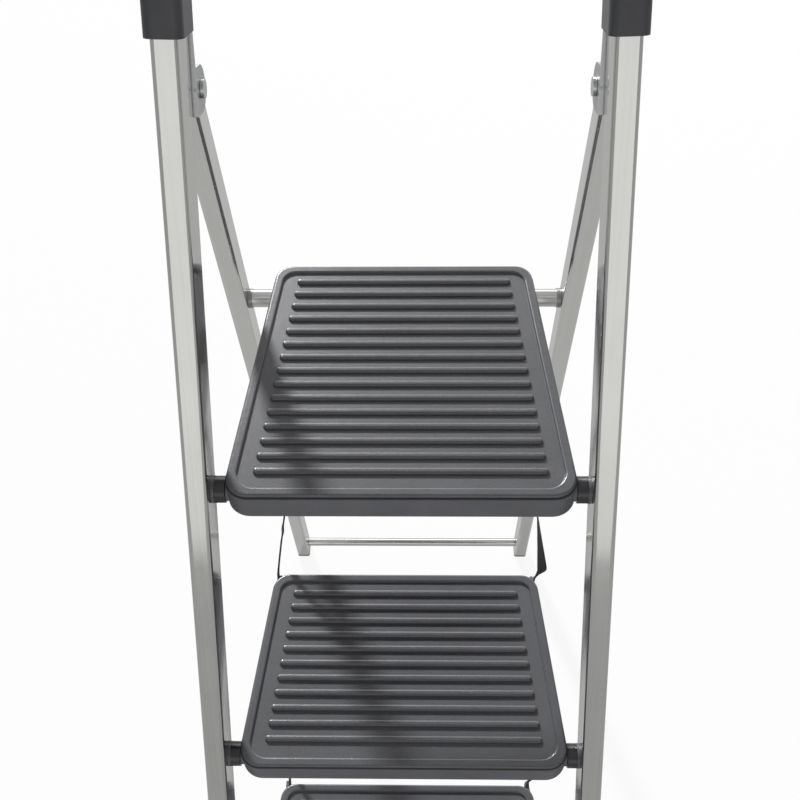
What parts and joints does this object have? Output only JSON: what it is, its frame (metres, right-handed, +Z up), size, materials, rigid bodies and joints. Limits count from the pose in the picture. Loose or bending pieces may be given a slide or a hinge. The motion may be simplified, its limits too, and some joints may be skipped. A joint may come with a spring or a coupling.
{
  "type": "step stool",
  "caption": "Folding step stool with ribbed anthracite steps, flat aluminium rails, a bent handrail and webbing straps that fold the steps together.",
  "frame": {"origin": "centre of the floor footprint, at floor level, with the stool standing open", "axes": "+Z up, +X to the right seen from the climbing side, +Y from the front feet towards the rear feet"},
  "size_m": [0.4002, 0.7892, 1.2113],
  "materials": {
    "anodised_rail": "satin brushed anodised extrusion",
    "handrail_tube": "satin anodised bent tube",
    "cross_tube": "satin anodised tube",
    "dark_plastic": "fine grained moulding",
    "grey_plastic": "fine grained moulding",
    "foot_rubber": "matt moulded rubber",
    "step_plastic": "anthracite moulding",
    "tread_cover": "satin anthracite, raised ribs",
    "sleeve_plastic": "glossy black moulding",
    "washer_plastic": "dark grey moulding",
    "steel": "zinc plated",
    "bracket_steel": "pressed steel plate",
    "webbing": "woven webbing"
  },
  "bodies": {
    "front_frame": {"axle_nuts": "steel", "bottom_axle": "steel", "bottom_sleeve_left": "sleeve_plastic", "bottom_sleeve_right": "sleeve_plastic", "bottom_washers": "washer_plastic", "bracket_rivets": "steel", "front_foot_left": "foot_rubber", "front_foot_right": "foot_rubber", "front_rail_left": "anodised_rail", "front_rail_right": "anodised_rail", "handrail": "handrail_tube", "hinge_bracket_left": "bracket_steel", "hinge_bracket_right": "bracket_steel", "hinge_pin_left": "steel", "hinge_pin_right": "steel", "middle_axle": "steel", "middle_sleeve_left": "sleeve_plastic", "middle_sleeve_right": "sleeve_plastic", "middle_washers": "washer_plastic", "platform_axle": "steel", "platform_sleeve_left": "sleeve_plastic", "platform_sleeve_right": "sleeve_plastic", "platform_washers": "washer_plastic", "rail_cap_left": "dark_plastic", "rail_cap_right": "dark_plastic"},
    "platform": {"platform_body": "step_plastic", "platform_tread": "tread_cover", "tube_saddle_left": "dark_plastic", "tube_saddle_right": "dark_plastic", "strap_pins_platform": "steel"},
    "middle_step": {"middle_body": "step_plastic", "middle_tread": "tread_cover", "strap_pins_middle": "steel"},
    "bottom_step": {"bottom_body": "step_plastic", "bottom_tread": "tread_cover", "strap_pins_bottom": "steel"},
    "rear_frame": {"hinge_knuckle_left": "dark_plastic", "hinge_knuckle_right": "dark_plastic", "lower_cross_tube": "cross_tube", "rear_foot_left": "grey_plastic", "rear_foot_right": "grey_plastic", "rear_rail_left": "anodised_rail", "rear_rail_right": "anodised_rail", "tube_collars": "dark_plastic", "upper_cross_tube": "cross_tube"},
    "upper_straps": {"upper_strap_left": "webbing", "upper_strap_right": "webbing"},
    "lower_straps": {"lower_strap_left": "webbing", "lower_strap_right": "webbing"}
  },
  "joints": [
    {"name": "platform_fold", "type": "hinge", "parent": "front_frame", "child": "platform", "pos_m": [0, 0.00002, 0.7565], "axis": [1, 0, 0], "range_deg": [0, 64]},
    {"name": "middle_step_fold", "type": "hinge", "parent": "front_frame", "child": "middle_step", "pos_m": [0, -0.12606, 0.498], "axis": [1, 0, 0], "range_deg": [0, 64]},
    {"name": "bottom_step_fold", "type": "hinge", "parent": "front_frame", "child": "bottom_step", "pos_m": [0, -0.25214, 0.2395], "axis": [1, 0, 0], "range_deg": [0, 64]},
    {"name": "rear_frame_fold", "type": "hinge", "parent": "front_frame", "child": "rear_frame", "pos_m": [0, 0.17305, 1.02345], "axis": [-1, 0, 0], "range_deg": [0, 37.5]},
    {"name": "upper_strap_swing", "type": "hinge", "parent": "platform", "child": "upper_straps", "pos_m": [0, 0.18452, 0.7385], "axis": [-1, 0, 0], "range_deg": [0, 64]},
    {"name": "lower_strap_swing", "type": "hinge", "parent": "middle_step", "child": "lower_straps", "pos_m": [0, 0.05844, 0.48], "axis": [-1, 0, 0], "range_deg": [0, 64]}
  ],
  "couplings": [
    {"joint": "middle_step_fold", "follows": "platform_fold", "ratio": 1},
    {"joint": "bottom_step_fold", "follows": "platform_fold", "ratio": 1},
    {"joint": "rear_frame_fold", "follows": "platform_fold", "ratio": 0.58594},
    {"joint": "upper_strap_swing", "follows": "platform_fold", "ratio": 1},
    {"joint": "lower_strap_swing", "follows": "platform_fold", "ratio": 1}
  ]
}
